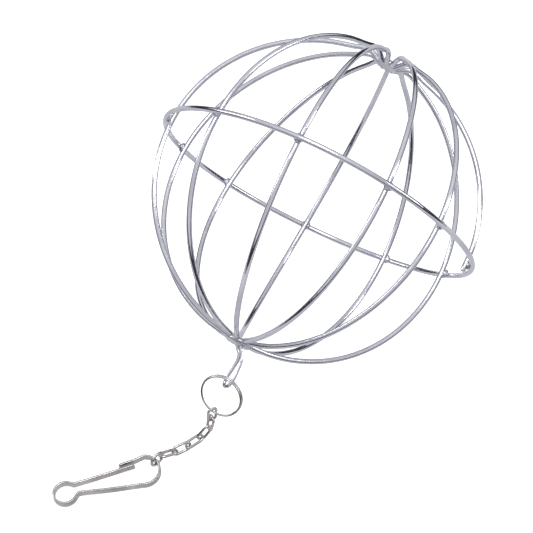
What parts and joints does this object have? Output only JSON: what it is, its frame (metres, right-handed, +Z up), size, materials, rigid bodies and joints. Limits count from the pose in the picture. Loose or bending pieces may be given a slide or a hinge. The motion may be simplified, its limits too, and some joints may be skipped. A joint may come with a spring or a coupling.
{
  "type": "hanging hay ball",
  "caption": "Chromed wire hay ball for small pets with belt ring, filling gap, hanger loop, split ring, short chain and sprung hook, lying on its side.",
  "frame": {"origin": "centre of the bounding box on the floor", "axes": "+Z up from the floor, +Y from the hook towards the ball, +X across towards the filling gap"},
  "size_m": [0.0824, 0.1238, 0.0776],
  "materials": {
    "chrome_wire": "polished chrome plate",
    "weld_metal": "plated weld, satin",
    "nickel": "bright nickel plate"
  },
  "bodies": {
    "cage": {"wire_01": "chrome_wire", "wire_02": "chrome_wire", "wire_03": "chrome_wire", "wire_04": "chrome_wire", "wire_05": "chrome_wire", "wire_06": "chrome_wire", "wire_07": "chrome_wire", "wire_08": "chrome_wire", "wire_09": "chrome_wire", "wire_10": "chrome_wire", "short_wire": "chrome_wire", "belt_ring": "chrome_wire", "spot_weld_01": "weld_metal", "spot_weld_02": "weld_metal", "spot_weld_03": "weld_metal", "spot_weld_04": "weld_metal", "spot_weld_05": "weld_metal", "spot_weld_06": "weld_metal", "spot_weld_07": "weld_metal", "spot_weld_08": "weld_metal", "spot_weld_09": "weld_metal", "spot_weld_10": "weld_metal", "spot_weld_11": "weld_metal", "hanger_pole_weld": "weld_metal", "dimple_pole_weld": "weld_metal", "hanger_loop": "chrome_wire"},
    "split_ring": {"split_ring": "nickel"},
    "chain_link_01": {"chain_link_01": "nickel"},
    "chain_link_02": {"chain_link_02": "nickel"},
    "chain_link_03": {"chain_link_03": "nickel"},
    "chain_link_04": {"chain_link_04": "nickel"},
    "chain_link_05": {"chain_link_05": "nickel"},
    "chain_link_06": {"chain_link_06": "nickel"},
    "end_ring": {"end_ring": "nickel"},
    "hook_body": {"hook_body": "nickel"},
    "hook_spring_arm": {"hook_spring_arm": "nickel"}
  },
  "joints": [
    {"name": "split_ring_swing", "type": "hinge", "parent": "cage", "child": "split_ring", "pos_m": [0.00232, -0.02216, 0.02027], "axis": [0.7431, -0.228, 0.6291], "range_deg": [-20, 20]},
    {"name": "chain_link_01_swing", "type": "hinge", "parent": "split_ring", "child": "chain_link_01", "pos_m": [-0.00002, -0.02705, 0.01193], "axis": [-0.8512, 0.5249, 0], "range_deg": [-15, 15]},
    {"name": "chain_link_02_swing", "type": "hinge", "parent": "chain_link_01", "child": "chain_link_02", "pos_m": [-0.00016, -0.02729, 0.00837], "axis": [-0.5509, -0.7936, 0.2585], "range_deg": [-15, 15]},
    {"name": "chain_link_03_swing", "type": "hinge", "parent": "chain_link_02", "child": "chain_link_03", "pos_m": [-0.00065, -0.02808, 0.00492], "axis": [-0.7895, 0.6064, -0.0949], "range_deg": [-15, 15]},
    {"name": "chain_link_04_swing", "type": "hinge", "parent": "chain_link_03", "child": "chain_link_04", "pos_m": [-0.00193, -0.03015, 0.00231], "axis": [-0.3548, -0.1145, 0.9279], "range_deg": [-15, 15]},
    {"name": "chain_link_05_swing", "type": "hinge", "parent": "chain_link_04", "child": "chain_link_05", "pos_m": [-0.00372, -0.03306, 0.00126], "axis": [-0.765, 0.4718, -0.4384], "range_deg": [-15, 15]},
    {"name": "chain_link_06_swing", "type": "hinge", "parent": "chain_link_05", "child": "chain_link_06", "pos_m": [-0.00559, -0.0361, 0.00126], "axis": [-0.2796, 0.4409, 0.8529], "range_deg": [-15, 15]},
    {"name": "end_ring_swing", "type": "hinge", "parent": "chain_link_06", "child": "end_ring", "pos_m": [-0.00744, -0.03909, 0.0023], "axis": [0.9744, -0.225, 0], "range_deg": [-15, 15]},
    {"name": "hook_swivel", "type": "hinge", "parent": "end_ring", "child": "hook_body", "pos_m": [-0.00788, -0.04099, 0.0023], "axis": [0, 0, 1], "range_deg": [-12, 12]},
    {"name": "spring_arm_flex", "type": "hinge", "parent": "hook_body", "child": "hook_spring_arm", "pos_m": [-0.02131, -0.05559, 0.00127], "axis": [-0.0389, -0.035, 0.9986], "range_deg": [-10, 0], "stiffness_Nm_per_rad": 0.1}
  ]
}
